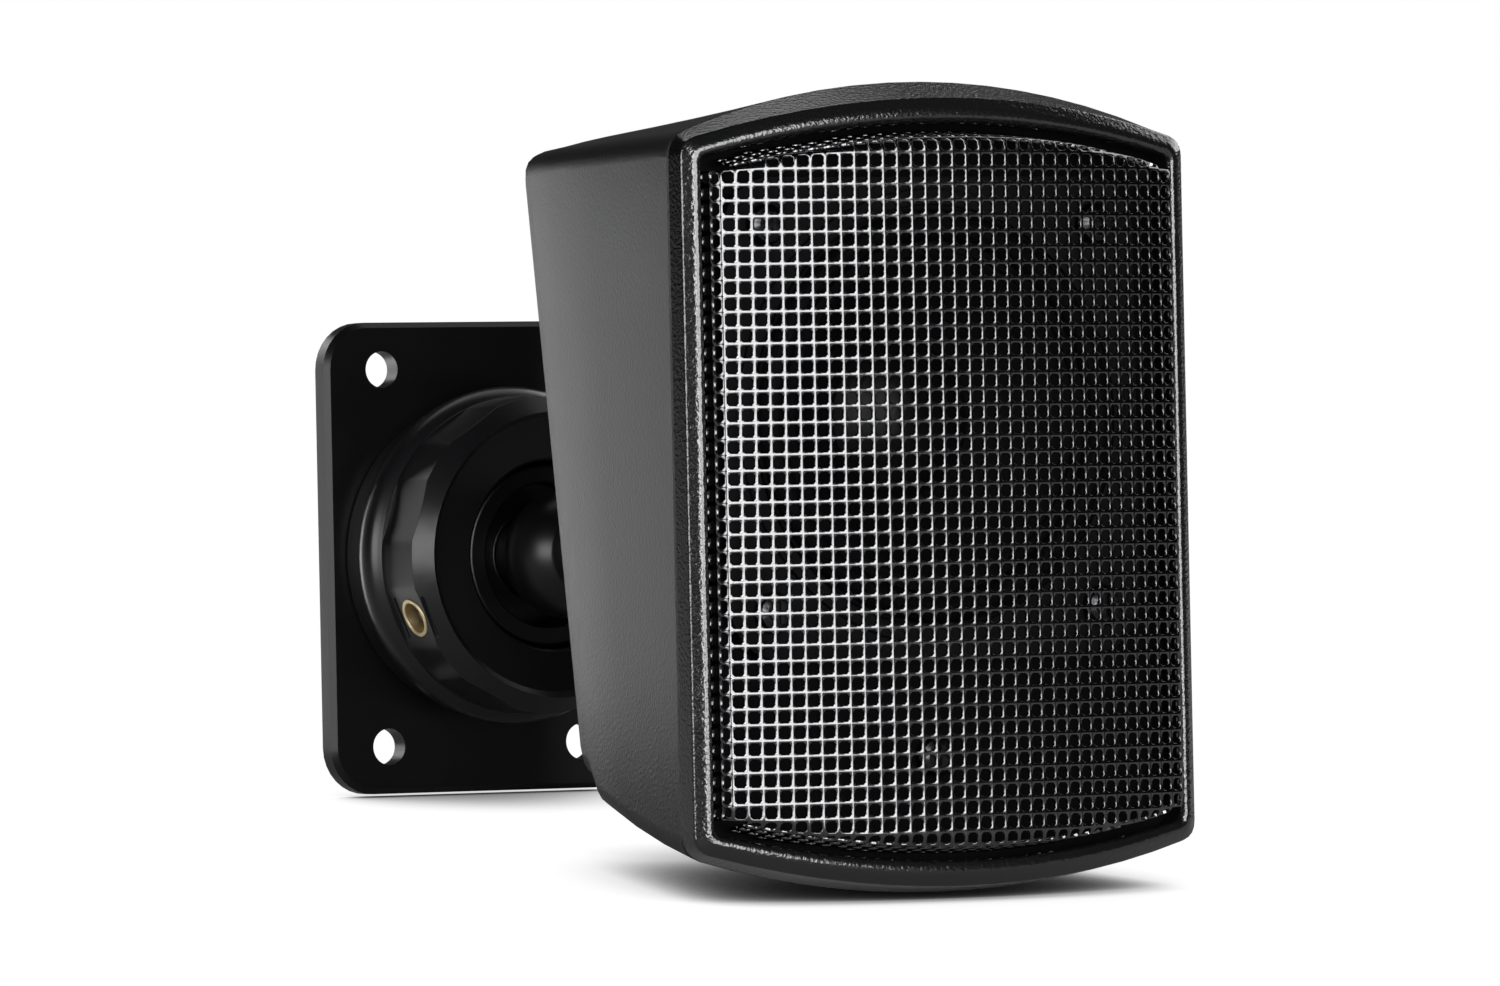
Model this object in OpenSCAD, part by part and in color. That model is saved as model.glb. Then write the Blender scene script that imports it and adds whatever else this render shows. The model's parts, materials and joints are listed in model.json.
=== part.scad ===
// Satellite speaker on a ball-jointed wall mount.
// The wall is the plane y = 0, the speaker faces -Y and +Z is up.
// The origin is the centre of the wall plate's back face.

/* [Cabinet] */
// Width across the cabinet's mouth
cab_w = 82.4; // [76:0.2:96]
// Height of the straight side edge
side_h = 99.6; // [94:0.2:118]
// Rise of the top arch at the seam
top_rise = 7.8; // [6:0.1:11]
// Rise of the bottom arch at the seam
bottom_rise = 6.2; // [5:0.1:9]
// Depth from the seam to the rear face at mid height
cab_d = 59; // [54:1:75]
// Taper of each side towards the rear
side_taper = 12; // [7:0.5:14]
// Rake of the rear face
rear_rake = 14; // [8:0.5:16]
// Slope of the underside just behind the seam
under_slope = 0.12; // [0.06:0.01:0.16]
// How fast the underside steepens towards the rear
under_curve = 0.00196; // [0.001:0.0001:0.0024]
// Wall of the cabinet shell
cab_wall = 2.6; // [2:0.1:3.2]
// Rounding of the rear edges
rear_round = 6; // [3:0.5:8]
// Softening of the long corner edges
corner_soft = 3; // [1.5:0.5:5]

/* [Front] */
// Seam between bezel and cabinet, behind the grille's front
seam_y = 12.2; // [11:0.1:15]
// Front of the bezel at its middle, behind the grille's front
bezel_front = 4.2; // [4:0.1:6.5]
// Radius of the bezel's bowed front
bezel_bow = 240; // [180:5:300]
// Half width of the window in the bezel
window_hw = 38.2; // [37.8:0.1:38.6]
// Height of the window's corners
window_corner = 46.8; // [46:0.1:47.4]
// Rise of the window's arches
window_rise = 4.6; // [4:0.1:5]
// Thickness of the baffle
baffle_t = 2.5; // [2:0.1:4]
// Thickness of the foam between baffle and cabinet
gasket_t = 0.8; // [0.5:0.1:1.5]

/* [Grille] */
// Half width of the grille's face
grille_hw = 37.6; // [36.5:0.1:37.7]
// Height of the face's corners
grille_corner = 45.2; // [44:0.1:45.4]
// Rise of the face's arches
grille_rise = 4.5; // [4:0.1:4.6]
// Radius of the face's bow
grille_bow = 138; // [132:1:180]
// Thickness of the perforated sheet
grille_t = 0.8; // [0.6:0.1:1.2]
// Pitch of the square cells
mesh_pitch = 7.6; // [7:0.1:9]
// Bar between two cells
mesh_bar = 1.9; // [1.2:0.1:2.6]

/* [Driver] */
// Height of the driver above the face's centre
driver_z = 10.6; // [9:0.1:11]
// Side of the square flange
flange_w = 67.4; // [64:0.2:68]
// Thickness of the flange and the pressed frame
frame_t = 1.2; // [0.8:0.1:1.6]
// Spacing of the flange's screws
flange_pitch = 54; // [52:0.2:55]
// Radius of the cone at its edge
cone_r = 24.2; // [23:0.1:25]
// Radius of the surround where it is glued down
surround_r = 29.4; // [28.6:0.1:30]
// Depth of the frame behind its flange
frame_d = 21; // [18:0.5:25]
// Radius of the dust cap
cap_r = 11; // [10:0.1:12]
// Radius of the magnet
magnet_r = 22.5; // [20:0.5:26]
// Thickness of the magnet
magnet_t = 10; // [7:0.5:13]
// Radius of the pole piece
pole_r = 9.3; // [8.6:0.1:9.4]

/* [Wall plate] */
// Width of the plate
plate_w = 52; // [50:0.5:70]
// Height of the plate
plate_h = 70; // [66:0.5:90]
// Thickness of the plate
plate_t = 3.2; // [3:0.1:5]
// Radius of the plate's corners
plate_corner = 7; // [4:0.5:8]
// Softened front edge
plate_soft = 0.8; // [0.4:0.1:1.2]
// Spacing of the screw holes across
hole_dx = 33; // [30:0.5:42]
// Spacing of the screw holes in height
hole_dz = 56; // [52:0.5:70]
// Diameter of the screw holes
hole_d = 5.4; // [4:0.1:6]

/* [Ball mount] */
// Radius of the pivot ball
ball_r = 16; // [15.5:0.1:16.2]
// Height of the ball's centre above the plate
pivot_h = 11; // [10.8:0.1:12]
// Running clearance of ball, liner and seats
run_gap = 0.06; // [0.04:0.01:0.1]
// Thickness of the friction liner
liner_t = 0.94; // [0.6:0.02:1.2]
// Height of the threaded hub
hub_h = 12.5; // [11.5:0.1:12.6]
// Outer radius of the hub's thread
hub_r = 21.3; // [21:0.1:21.5]
// Wall of the hub
hub_wall = 2.55; // [2:0.05:2.6]
// Height of the lock collar's rim above the plate
collar_h = 23; // [22.4:0.1:24]
// Radius of the collar's side
collar_r = 23.5; // [23.3:0.1:24.5]
// Radius of the collar's front rim
rim_r = 21.1; // [20.5:0.1:21.5]
// Radius of the opening in the collar's lip
lip_r = 14; // [13.9:0.1:14.3]
// Number of flats round the collar
flat_count = 9; // [6:1:12]
// Half angle that one flat covers
flat_half = 11; // [8:0.5:12]
// Radius of the bead on the stem
bead_r = 9.4; // [8.8:0.1:9.5]
// Distance from the pivot to the bead's centre
bead_reach = 14.7; // [14:0.1:16]
// Radius of the stem's arm
arm_r = 6.5; // [5:0.1:7]
// Distance from the pivot to the cabinet's boss
stem_reach = 54.4; // [50:0.1:70]
// Radius of the stem's flange
foot_r = 17.5; // [17:0.1:19]
// Thickness of the stem's flange
foot_t = 4; // [3:0.1:6]
// Height of the face's centre above the stem
face_z = 7.5; // [4:0.5:8]
// How far the cabinet's boss stands proud on its axis
boss_proud = 4.5; // [4.4:0.1:8]

/* [Small parts] */
// Radius of the brass insert
insert_r = 3; // [2.6:0.1:3.2]
// Radius of the set screw
grub_r = 2; // [1.5:0.1:2.2]
// Clearance of screws and plain seats
fit = 0.05; // [0.03:0.01:0.1]
// Height of the terminals above the face's centre
terminal_z = 31; // [30:0.5:33]
// Width of the terminal housing's flange
cup_w = 38; // [36:0.5:39]
// Height of the terminal housing's flange
cup_h = 20; // [19:0.5:22]
// Depth of the terminal housing
cup_d = 10; // [9:0.5:12]

/* [Hidden] */
$fn = 96;
eps = 0.01;

// places along the stem's axis, measured out from the plate's front face
bead_h = pivot_h + bead_reach;
seat_h = pivot_h + stem_reach;
foot_h = seat_h - foot_t;
liner_r = ball_r + run_gap + liner_t;
socket_r = liner_r + run_gap;
hub_bore = hub_r - hub_wall;
collar_bore = hub_r + 0.15;
ball_back = 0.8;
ball_front = 20;
foot_pitch_r = 13;
foot_screws = 3;

// places in the speaker, measured back from the grille's front
side_half = side_h / 2;
mouth_hw = cab_w / 2;
function rear_y(z) = seam_y + cab_d + z * tan(rear_rake);
boss_y = rear_y(-face_z) + boss_proud;
apex_y = -(plate_t + seat_h + boss_y);
baffle_y = seam_y;
baffle_back = baffle_y + baffle_t;
ledge_y = baffle_back + gasket_t;
rabbet_in = 2.05;
baffle_in = rabbet_in + 0.25;
ledge_in = 4.6;
ledge_t = 2;
baffle_screw_z = -37;
tower_len = 14;
cup_side = 13;
cup_screw_x = cup_w / 2 - 3.6;

// places in the driver, measured out from the baffle's front face
driver_gasket_t = 0.8;
flange_front = driver_gasket_t + frame_t;
floor_z = flange_front - frame_d;
floor_r = 18;
former_r = pole_r + 0.4;
coil_r = former_r + 0.7;
gap_r = coil_r + 0.4;
plate_z = floor_z - frame_t;
plate_front_t = 4;
magnet_z = plate_z - plate_front_t;
yoke_z = magnet_z - magnet_t;
spider_z = floor_z + 6;

// points of one arch, from +x to -x
arch_steps = 14;
side_steps = 3;
corner_steps = 3;
function lerp(a, b, t) = a + (b - a) * t;
function arch_radius(hw, rise) = (hw * hw + rise * rise) / (2 * rise);
function arch_z(x, hw, corner, rise) =
    let (r = arch_radius(hw, rise)) corner + rise - r + sqrt(r * r - x * x);
function bend(a, c, b, t) = (1 - t) * (1 - t) * a + 2 * t * (1 - t) * c + t * t * b;
function rise_for(hw, radius) = radius - sqrt(radius * radius - hw * hw);

// closed outline with straight sides, arched ends and softened corners
function outline(hw_t, top, rise_t, hw_b, bottom, rise_b, soft) =
    let (xt = hw_t - soft, xb = hw_b - soft,
        zt = arch_z(xt, hw_t, top, rise_t), zb = -arch_z(xb, hw_b, bottom, rise_b),
        lean = (hw_t - hw_b) / (top + bottom),
        upper = [hw_t - lean * soft, top - soft], lower = [hw_b + lean * soft, -bottom + soft])
    concat(
        [for (i = [0:side_steps]) lerp(lower, upper, i / side_steps)],
        [for (i = [1:corner_steps]) bend(upper, [hw_t, top], [xt, zt], i / (corner_steps + 1))],
        [for (i = [0:arch_steps]) let (x = lerp(xt, -xt, i / arch_steps)) [x, arch_z(x, hw_t, top, rise_t)]],
        [for (i = [1:corner_steps]) bend([-xt, zt], [-hw_t, top], [-upper[0], upper[1]], i / (corner_steps + 1))],
        [for (i = [0:side_steps]) let (p = lerp(upper, lower, i / side_steps)) [-p[0], p[1]]],
        [for (i = [1:corner_steps]) bend([-lower[0], lower[1]], [-hw_b, -bottom], [-xb, zb], i / (corner_steps + 1))],
        [for (i = [0:arch_steps]) let (x = lerp(-xb, xb, i / arch_steps)) [x, -arch_z(x, hw_b, bottom, rise_b)]],
        [for (i = [1:corner_steps]) bend([xb, zb], [hw_b, -bottom], lower, i / (corner_steps + 1))]);

// outline with the same width at top and bottom
function even_outline(hw, corner, rise_t, rise_b, soft) =
    outline(hw, corner, rise_t, hw, corner, rise_b, soft);

// mouth of the cabinet, drawn in from its edge
function mouth(inset) =
    even_outline(mouth_hw - inset, side_half - inset, top_rise, bottom_rise, corner_soft);

// half width and underside of the cabinet at a depth
top_radius = arch_radius(mouth_hw, top_rise);
bottom_radius = arch_radius(mouth_hw, bottom_rise);
function cab_hw(y) = mouth_hw - (y - seam_y) * tan(side_taper);
function cab_bottom(y) =
    let (t = y - seam_y) side_half - under_slope * t - under_curve * t * t;

// one ring round the cabinet: share of the depth, wall drawn in, edge drawn in, pulled forward
function cab_y(z, share, wall) = seam_y + share * (rear_y(z) - wall - seam_y);
function cab_ring(share, wall, edge, pull) =
    let (yt = cab_y(side_half, share, wall), yb = cab_y(-cab_bottom(cab_y(-side_half + 10, share, wall)), share, wall),
        ht = cab_hw(yt) - wall - edge, hb = cab_hw(yb) - wall - edge)
    [for (p = outline(ht, side_half - wall - edge, rise_for(ht, top_radius),
            hb, cab_bottom(yb) - wall - edge, rise_for(hb, bottom_radius), corner_soft))
        [p[0], cab_y(p[1], share, wall) - pull, p[1]]];
function flat_ring(points, y) = [for (p = points) [p[0], y, p[1]]];

// skin through a list of rings, closed with a cap at each end
module loft(rings) {
    n = len(rings[0]);
    last = len(rings) - 1;
    skin = [for (k = [0:last - 1], j = [0:n - 1]) let (a = k * n + j, b = k * n + (j + 1) % n)
        each [[a, b + n, b], [a, a + n, b + n]]];
    caps = [[for (j = [0:n - 1]) j], [for (j = [n - 1:-1:0]) last * n + j]];
    polyhedron(points = [for (r = rings) each r], faces = concat(skin, caps), convexity = 8);
}

// skin through rings that close on themselves
module loft_loop(rings) {
    n = len(rings[0]);
    m = len(rings);
    skin = [for (k = [0:m - 1], j = [0:n - 1])
        let (a = k * n + j, b = k * n + (j + 1) % n, q = (k + 1) % m * n)
        each [[a, q + (j + 1) % n, b], [a, q + j, q + (j + 1) % n]]];
    polyhedron(points = [for (r = rings) each r], faces = skin, convexity = 8);
}

// frames of the stem, the speaker, the driver and the raked rear
module on_wall() { rotate([90, 0, 0]) translate([0, 0, plate_t]) children(); }
module in_speaker() { translate([0, apex_y, face_z]) children(); }
module in_driver() { in_speaker() translate([0, baffle_y, driver_z]) rotate([90, 0, 0]) children(); }
module on_rear(z) { translate([0, rear_y(z), z]) rotate([-90 - rear_rake, 0, 0]) children(); }

// plate from a flat outline, standing between two depths
module slab(points, y0, y1) {
    translate([0, y1, 0]) rotate([90, 0, 0]) linear_extrude(y1 - y0) polygon(points);
}
module soft_plate(w, h, t, r) {
    linear_extrude(t) {
        square([w - 2 * r, h], center = true);
        square([w, h - 2 * r], center = true);
        for (x = [-1, 1], y = [-1, 1]) translate([x * (w / 2 - r), y * (h / 2 - r)]) circle(r, $fn = 32);
    }
}
module pipe(r, bore, z0, z1) {
    translate([0, 0, z0]) difference() {
        cylinder(r = r, h = z1 - z0);
        translate([0, 0, -1]) cylinder(r = bore, h = z1 - z0 + 2);
    }
}

// pan-head screw: the head's seat is z = 0 and the shank runs down
module pan_screw(shank_r, length, head_r, head_t) {
    difference() {
        union() {
            rotate_extrude() polygon([[0, 0], [head_r, 0], [head_r, head_t * 0.45],
                [head_r * 0.86, head_t * 0.8], [head_r * 0.6, head_t], [0, head_t]]);
            translate([0, 0, -length]) cylinder(r = shank_r, h = length + eps);
        }
        for (a = [0, 90]) rotate(a) translate([0, 0, head_t])
            cube([head_r * 1.1, head_r * 0.24, head_t], center = true);
    }
}

module wall_plate() {
    r = plate_corner;
    color("#17181a") on_wall() difference() {
        union() {
            hull() for (x = [-1, 1], y = [-1, 1])
                translate([x * (plate_w / 2 - r), y * (plate_h / 2 - r), -plate_t]) {
                    cylinder(r = r, h = plate_t - plate_soft, $fn = 32);
                    cylinder(r = r - plate_soft, h = plate_t, $fn = 32);
                }
            translate([0, 0, -eps]) cylinder(r = hub_r, h = hub_h + eps);
        }
        translate([0, 0, 0]) cylinder(r = hub_bore, h = hub_h + 1);
        translate([0, 0, -plate_t - 1]) cylinder(r = ball_r * 0.77, h = plate_t + 2);
        for (x = [-1, 1], y = [-1, 1]) translate([x * hole_dx / 2, y * hole_dz / 2, -plate_t - 1])
            cylinder(d = hole_d, h = plate_t + 2);
    }
}

module seat_cup() {
    color("#2a2a2c") on_wall() difference() {
        translate([0, 0, fit]) cylinder(r = hub_bore - fit, h = pivot_h - 0.5);
        translate([0, 0, pivot_h]) sphere(r = socket_r, $fn = 128);
    }
}

liner_half = 25;
module friction_liner() {
    half_w = liner_r * sin(liner_half);
    color("#3a3b3d") on_wall() translate([0, 0, pivot_h]) difference() {
        intersection() {
            sphere(r = liner_r, $fn = 128);
            translate([0, 0, -half_w]) cylinder(r = liner_r + 1, h = 2 * half_w);
        }
        sphere(r = ball_r + run_gap, $fn = 128);
    }
}

// nine flats, a dished lip over the ball and a rolled foot
chamfer_h = 2.5;
side_end = 11.5;
bulge_r = 1.6;
thread_top = hub_h + 0.7;
lip_land = 0.8;
lip_h = pivot_h + sqrt(socket_r * socket_r - lip_r * lip_r) + lip_land;
insert_angle = -180 + 22.7;
insert_h = 17.2;
insert_in = 17.6;
groove_gap = 3.9;
module collar_profile() {
    polygon(concat(
        [[lip_r, thread_top], [lip_r, lip_h - 0.3], [lip_r + 0.4, lip_h], [rim_r - 0.9, collar_h - 0.9],
            [rim_r - 0.3, collar_h - 0.3], [rim_r, collar_h],
            [collar_r, collar_h - chamfer_h], [collar_r, side_end]],
        [for (a = [75:-25:-75]) [collar_r + bulge_r * cos(a), side_end - 3 + bulge_r * 1.7 * sin(a)]],
        [[collar_r, 4.5], [collar_r - 0.2, 3], [collar_r - 0.3, 0.4], [collar_bore, 0.4],
            [collar_bore, thread_top]]));
}
module lock_collar() {
    flat_r = collar_r * cos(flat_half);
    color("#1d1e21") on_wall() difference() {
        rotate_extrude($fn = 128) collar_profile();
        translate([0, 0, pivot_h]) sphere(r = socket_r, $fn = 128);
        for (k = [0:flat_count - 1]) rotate(insert_angle + k * 360 / flat_count)
            translate([flat_r, -9, side_end + 0.2]) cube([9, 18, collar_h]);
        rotate(insert_angle) translate([0, 0, insert_h]) rotate([0, 90, 0]) {
            translate([0, 0, insert_in]) cylinder(r = insert_r + fit, h = 12, $fn = 48);
            cylinder(r = grub_r + fit, h = 30, $fn = 48);
        }
        rotate(insert_angle) for (s = [-1, 1])
            translate([flat_r - 0.5, -3.2, insert_h + s * groove_gap - 0.25]) cube([3, 6.4, 0.5]);
    }
}

insert_out = collar_r * cos(flat_half) + 0.15;
module collar_insert() {
    color("#c9a24a") on_wall() rotate(insert_angle) translate([0, 0, insert_h]) rotate([0, 90, 0])
        pipe(insert_r, grub_r + 0.35, insert_in, insert_out);
}

grub_tip = 16.4;
grub_len = 5;
module collar_set_screw() {
    color("#303133") on_wall() rotate(insert_angle) translate([0, 0, insert_h]) rotate([0, 90, 0])
        translate([0, 0, grub_tip]) difference() {
            cylinder(r = grub_r, h = grub_len, $fn = 48);
            translate([0, 0, grub_len - 2]) cylinder(r = grub_r * 0.5, h = 3, $fn = 6);
        }
}

// pivot ball, bead, arm and foot in one casting
module ball_stem() {
    neck_floor = ball_front - 4.8;
    flare_h = foot_h - 8;
    color("#141416") on_wall() difference() {
        union() {
            difference() {
                translate([0, 0, pivot_h]) sphere(r = ball_r, $fn = 128);
                translate([0, 0, ball_back - 50]) cylinder(r = 30, h = 50);
                translate([0, 0, ball_front]) cylinder(r = 30, h = 30);
                translate([0, 0, neck_floor]) cylinder(r = 10.7, h = 30);
                translate([0, 0, -10]) cylinder(r = 6.5, h = 10 + pivot_h);
            }
            translate([0, 0, bead_h]) sphere(r = bead_r, $fn = 96);
            translate([0, 0, neck_floor - 1]) cylinder(r = arm_r, h = foot_h - neck_floor + 1);
            translate([0, 0, flare_h]) cylinder(r1 = arm_r, r2 = arm_r + 2.3, h = foot_h - flare_h + eps);
            translate([0, 0, foot_h]) cylinder(r = foot_r, h = foot_t);
        }
        for (k = [0:foot_screws - 1]) rotate(90 + k * 360 / foot_screws)
            translate([foot_pitch_r, 0, foot_h - 1]) cylinder(r = 2 + fit, h = foot_t + 2, $fn = 32);
    }
}

foot_screw_len = 13;
module stem_screws() {
    color("#26272a") on_wall() for (k = [0:foot_screws - 1]) rotate(90 + k * 360 / foot_screws)
        translate([foot_pitch_r, 0, foot_h]) rotate([180, 0, 0]) pan_screw(2, foot_screw_len, 3.6, 2.4);
}

// outer skin, mouth with its rabbet and ledge, and inner skin in one run of rings
function rear_rings(wall, r, steps) = [for (i = [steps:-1:0]) let (a = 90 * i / steps)
    cab_ring(1, wall, r * (1 - cos(a)), r * (1 - sin(a)))];
module cabinet_skin() {
    outer = concat(rear_rings(0, rear_round, 5), [for (s = [0.75, 0.5, 0.25]) cab_ring(s, 0, 0, 0)],
        [flat_ring(mouth(0), seam_y + 0.3), flat_ring(mouth(0.3), seam_y)]);
    rim = [flat_ring(mouth(rabbet_in), seam_y), flat_ring(mouth(rabbet_in), ledge_y),
        flat_ring(mouth(ledge_in), ledge_y), flat_ring(mouth(ledge_in), ledge_y + ledge_t)];
    back = rear_rings(cab_wall, rear_round - cab_wall, 3);
    inner = concat([for (s = [0.14, 0.5]) cab_ring(s, cab_wall, 0, 0)], [for (i = [3:-1:0]) back[i]]);
    loft(concat(outer, rim, inner));
}
module cabinet() {
    tower_z = baffle_screw_z;
    color("#1b1c1e") in_speaker() difference() {
        union() {
            cabinet_skin();
            translate([0, boss_y, -face_z]) rotate([90, 0, 0]) cylinder(r = foot_r, h = 11.5);
            translate([0, ledge_y + tower_len, tower_z]) rotate([90, 0, 0])
                cylinder(r = 3.6, h = tower_len - 0.3, $fn = 32);
            translate([-1.2, ledge_y + 0.4, -side_half - 2])
                cube([2.4, tower_len - 0.4, side_half + 2 + tower_z]);
        }
        translate([0, boss_y - 3, -face_z]) rotate([90, 0, 0]) cylinder(r = 7, h = 20);
        for (k = [0:foot_screws - 1]) let (a = 90 + k * 360 / foot_screws)
            translate([foot_pitch_r * cos(a), boss_y + 1, foot_pitch_r * sin(a) - face_z])
                rotate([90, 0, 0]) cylinder(r = 2 + fit, h = foot_screw_len - foot_t + 1.5, $fn = 32);
        translate([0, ledge_y + 11, tower_z]) rotate([90, 0, 0]) cylinder(r = 1.5 + fit, h = 14, $fn = 32);
        on_rear(terminal_z) translate([0, 0, -cup_d - 5])
            soft_plate(cup_w - cup_side + 2 * fit, cup_h - 4 + 2 * fit, cup_d + 12, 2);
        on_rear(terminal_z) for (s = [-1, 1]) translate([s * cup_screw_x, 0, -9])
            cylinder(r = 1.3 + fit, h = 12, $fn = 32);
    }
}

// bowed front frame with rolled edges
function bow_y(x) = bezel_front + bezel_bow - sqrt(bezel_bow * bezel_bow - x * x);
front_corner = 49.3;
front_rise = 5.9;
function front_loop(share, back) =
    [for (p = even_outline(lerp(mouth_hw, window_hw, share), lerp(front_corner, window_corner, share),
            lerp(front_rise, window_rise, share), lerp(front_rise, window_rise, share), lerp(2.2, 0.9, share)))
        [p[0], bow_y(p[0]) + back, p[1]]];
// share of the width from the outer edge, and depth behind the crest of the roll
roll_profile = [[0, 1.2], [0.03, 0.9], [0.09, 0.75], [0.38, 0.25], [0.5, 0.07], [0.62, 0], [0.74, 0.04],
    [0.85, 0.25], [0.94, 0.65], [1, 1.3]];
module bezel() {
    hidden_hw = window_hw + 0.3;
    color("#1f2023") in_speaker() loft_loop([
        flat_ring(mouth(0.3), seam_y), flat_ring(mouth(0), seam_y - 0.3),
        for (p = roll_profile) front_loop(p[0], p[1]),
        flat_ring(even_outline(hidden_hw, window_corner + 0.6, window_rise, window_rise, 1.5), seam_y)]);
}

module baffle() {
    color("#161618") in_speaker() difference() {
        slab(mouth(baffle_in), baffle_y, baffle_back);
        translate([0, baffle_back + 1, driver_z]) rotate([90, 0, 0]) cylinder(r = surround_r + 0.9, h = 6);
        translate([0, baffle_back + 1, baffle_screw_z]) rotate([90, 0, 0]) cylinder(r = 1.6, h = 6, $fn = 32);
        for (x = [-1, 1], z = [-1, 1])
            translate([x * flange_pitch / 2, baffle_back + 1, driver_z + z * flange_pitch / 2])
                rotate([90, 0, 0]) cylinder(r = 1.5 + fit, h = 6, $fn = 32);
    }
}

module baffle_gasket() {
    color("#0f0f10") in_speaker() difference() {
        slab(mouth(baffle_in), baffle_back, ledge_y);
        slab(mouth(ledge_in), baffle_back - 1, ledge_y + 1);
    }
}

module baffle_screw() {
    color("#3c3d40") in_speaker() translate([0, baffle_y, baffle_screw_z]) rotate([90, 0, 0])
        pan_screw(1.5, 12, 2.8, 1.8);
}

// curved tray: bowed face, drafted flanks, square cells
grille_radius = arch_radius(grille_hw, grille_rise);
flank_draft = 8;
side_draft = 4;
module arch_cone(z, r_front, r_back, depth) {
    translate([0, 0, z]) rotate([-90, 0, 0]) cylinder(r1 = r_front, r2 = r_back, h = depth, $fn = 256);
}
module tray_form(inset, back) {
    side_y = grille_bow - sqrt(grille_bow * grille_bow - grille_hw * grille_hw);
    function side_x(y) = grille_hw - inset + (y - side_y) * tan(side_draft);
    centre_z = grille_corner + grille_rise - grille_radius;
    far = grille_radius + back * tan(flank_draft) - inset;
    intersection() {
        translate([0, grille_bow, -80]) cylinder(r = grille_bow - inset, h = 160, $fn = 256);
        translate([0, 0, -80]) linear_extrude(160) polygon([[-side_x(-1), -1], [side_x(-1), -1],
            [side_x(back), back], [-side_x(back), back]]);
        arch_cone(centre_z, grille_radius - inset, far, back);
        arch_cone(-centre_z, grille_radius - inset, far, back);
    }
}
module grille() {
    cell = mesh_pitch - mesh_bar;
    nx = floor((grille_hw - grille_t - 1) * 2 / mesh_pitch);
    nz = floor((grille_corner + grille_rise - grille_t - 1) * 2 / mesh_pitch);
    edge = grille_t + 1;
    color("#2b2c2f") in_speaker() difference() {
        tray_form(0, baffle_y);
        tray_form(grille_t, baffle_y + 3);
        for (i = [0:nx - 1], k = [0:nz - 1])
            let (x = (i - (nx - 1) / 2) * mesh_pitch, z = (k - (nz - 1) / 2) * mesh_pitch,
                limit = arch_z(min(abs(x) + cell / 2, grille_hw - 0.1), grille_hw, grille_corner, grille_rise))
            if (abs(z) + cell / 2 < limit - edge)
                translate([x - cell / 2, -2, z - cell / 2]) cube([cell, 9.5, cell]);
    }
}

// driver, drawn with +z out of the baffle
module driver_gasket() {
    color("#101011") in_driver() difference() {
        soft_plate(flange_w - 0.6, flange_w - 0.6, driver_gasket_t, 8);
        translate([0, 0, -1]) cylinder(r = surround_r + 0.9, h = 3);
        for (x = [-1, 1], y = [-1, 1]) translate([x, y, 0] * flange_pitch / 2 + [0, 0, -1])
            cylinder(r = 1.5 + fit, h = 3, $fn = 32);
    }
}

basket_windows = 4;
module driver_basket() {
    rim_in = surround_r - 1.6;
    rim_r = surround_r + 2.5;
    wall_top = surround_r + 0.6;
    color("#2c2d30") in_driver() difference() {
        union() {
            translate([0, 0, driver_gasket_t]) soft_plate(flange_w, flange_w, frame_t, 8);
            pipe(rim_r, surround_r + 0.3, flange_front - eps, flange_front + 0.5);
            translate([0, 0, floor_z - frame_t])
                cylinder(r1 = floor_r, r2 = wall_top, h = driver_gasket_t - floor_z + frame_t + eps);
        }
        translate([0, 0, floor_z])
            cylinder(r1 = floor_r - 0.8, r2 = rim_in, h = flange_front - frame_t - floor_z + eps);
        cylinder(r = rim_in, h = 10);
        translate([0, 0, floor_z - frame_t - 1]) cylinder(r = gap_r + 1.5, h = 6);
        for (k = [0:basket_windows - 1]) rotate(45 + 360 / basket_windows * k)
            translate([17, -11, floor_z + 7.5]) cube([20, 22, 7.5]);
        for (x = [-1, 1], y = [-1, 1]) translate([x, y, 0] * flange_pitch / 2)
            cylinder(r = 1.5 + fit, h = 3, $fn = 32);
    }
}

module driver_screws() {
    color("#3c3d40") in_driver() for (x = [-1, 1], y = [-1, 1])
        translate([x * flange_pitch / 2, y * flange_pitch / 2, flange_front]) pan_screw(1.5, 9, 2.9, 1.9);
}

// half-roll edge
roll_t = 0.5;
module surround() {
    roll_r = (surround_r - cone_r - 1.8) / 2;
    mid = cone_r + 0.9 + roll_r;
    color("#1a1a1b") in_driver() translate([0, 0, flange_front]) rotate_extrude() {
        polygon(concat([[cone_r - 1, 0], [cone_r + 0.9, 0]],
            [for (a = [180:-20:0]) [mid + roll_r * cos(a), roll_r * sin(a)]],
            [[surround_r, 0], [surround_r, roll_t], [mid + roll_r + roll_t, roll_t]],
            [for (a = [15:15:165]) [mid + (roll_r + roll_t) * cos(a), (roll_r + roll_t) * sin(a)]],
            [[cone_r + 0.4, roll_t], [cone_r - 1, roll_t]]));
    }
}

cone_t = 0.6;
cone_back = spider_z + 4;
module cone() {
    color("#202022") in_driver() rotate_extrude() polygon([
        [former_r + 0.3, cone_back], [former_r + 1.2, cone_back], [cone_r, flange_front - cone_t],
        [cone_r, flange_front], [cone_r - 1.4, flange_front], [former_r + 0.3, cone_back + cone_t + 0.5]]);
}

module dust_cap() {
    cap_h = 3.6;
    dome = (cap_r * cap_r + cap_h * cap_h) / (2 * cap_h);
    span = asin(cap_r / dome);
    seat = lerp(cone_back + cone_t + 0.5, flange_front,
        (cap_r - former_r - 0.3) / (cone_r - 1.4 - former_r - 0.3)) + 0.2;
    color("#0c0c0d") in_driver() translate([0, 0, seat]) rotate_extrude() polygon(concat(
        [for (i = [0:8]) let (a = span * i / 8) [dome * sin(a), cap_h - dome + dome * cos(a)]],
        [for (i = [8:-1:0]) let (a = span * i / 8)
            [(dome - 0.5) * sin(a), cap_h - dome + (dome - 0.5) * cos(a)]]));
}

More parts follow.
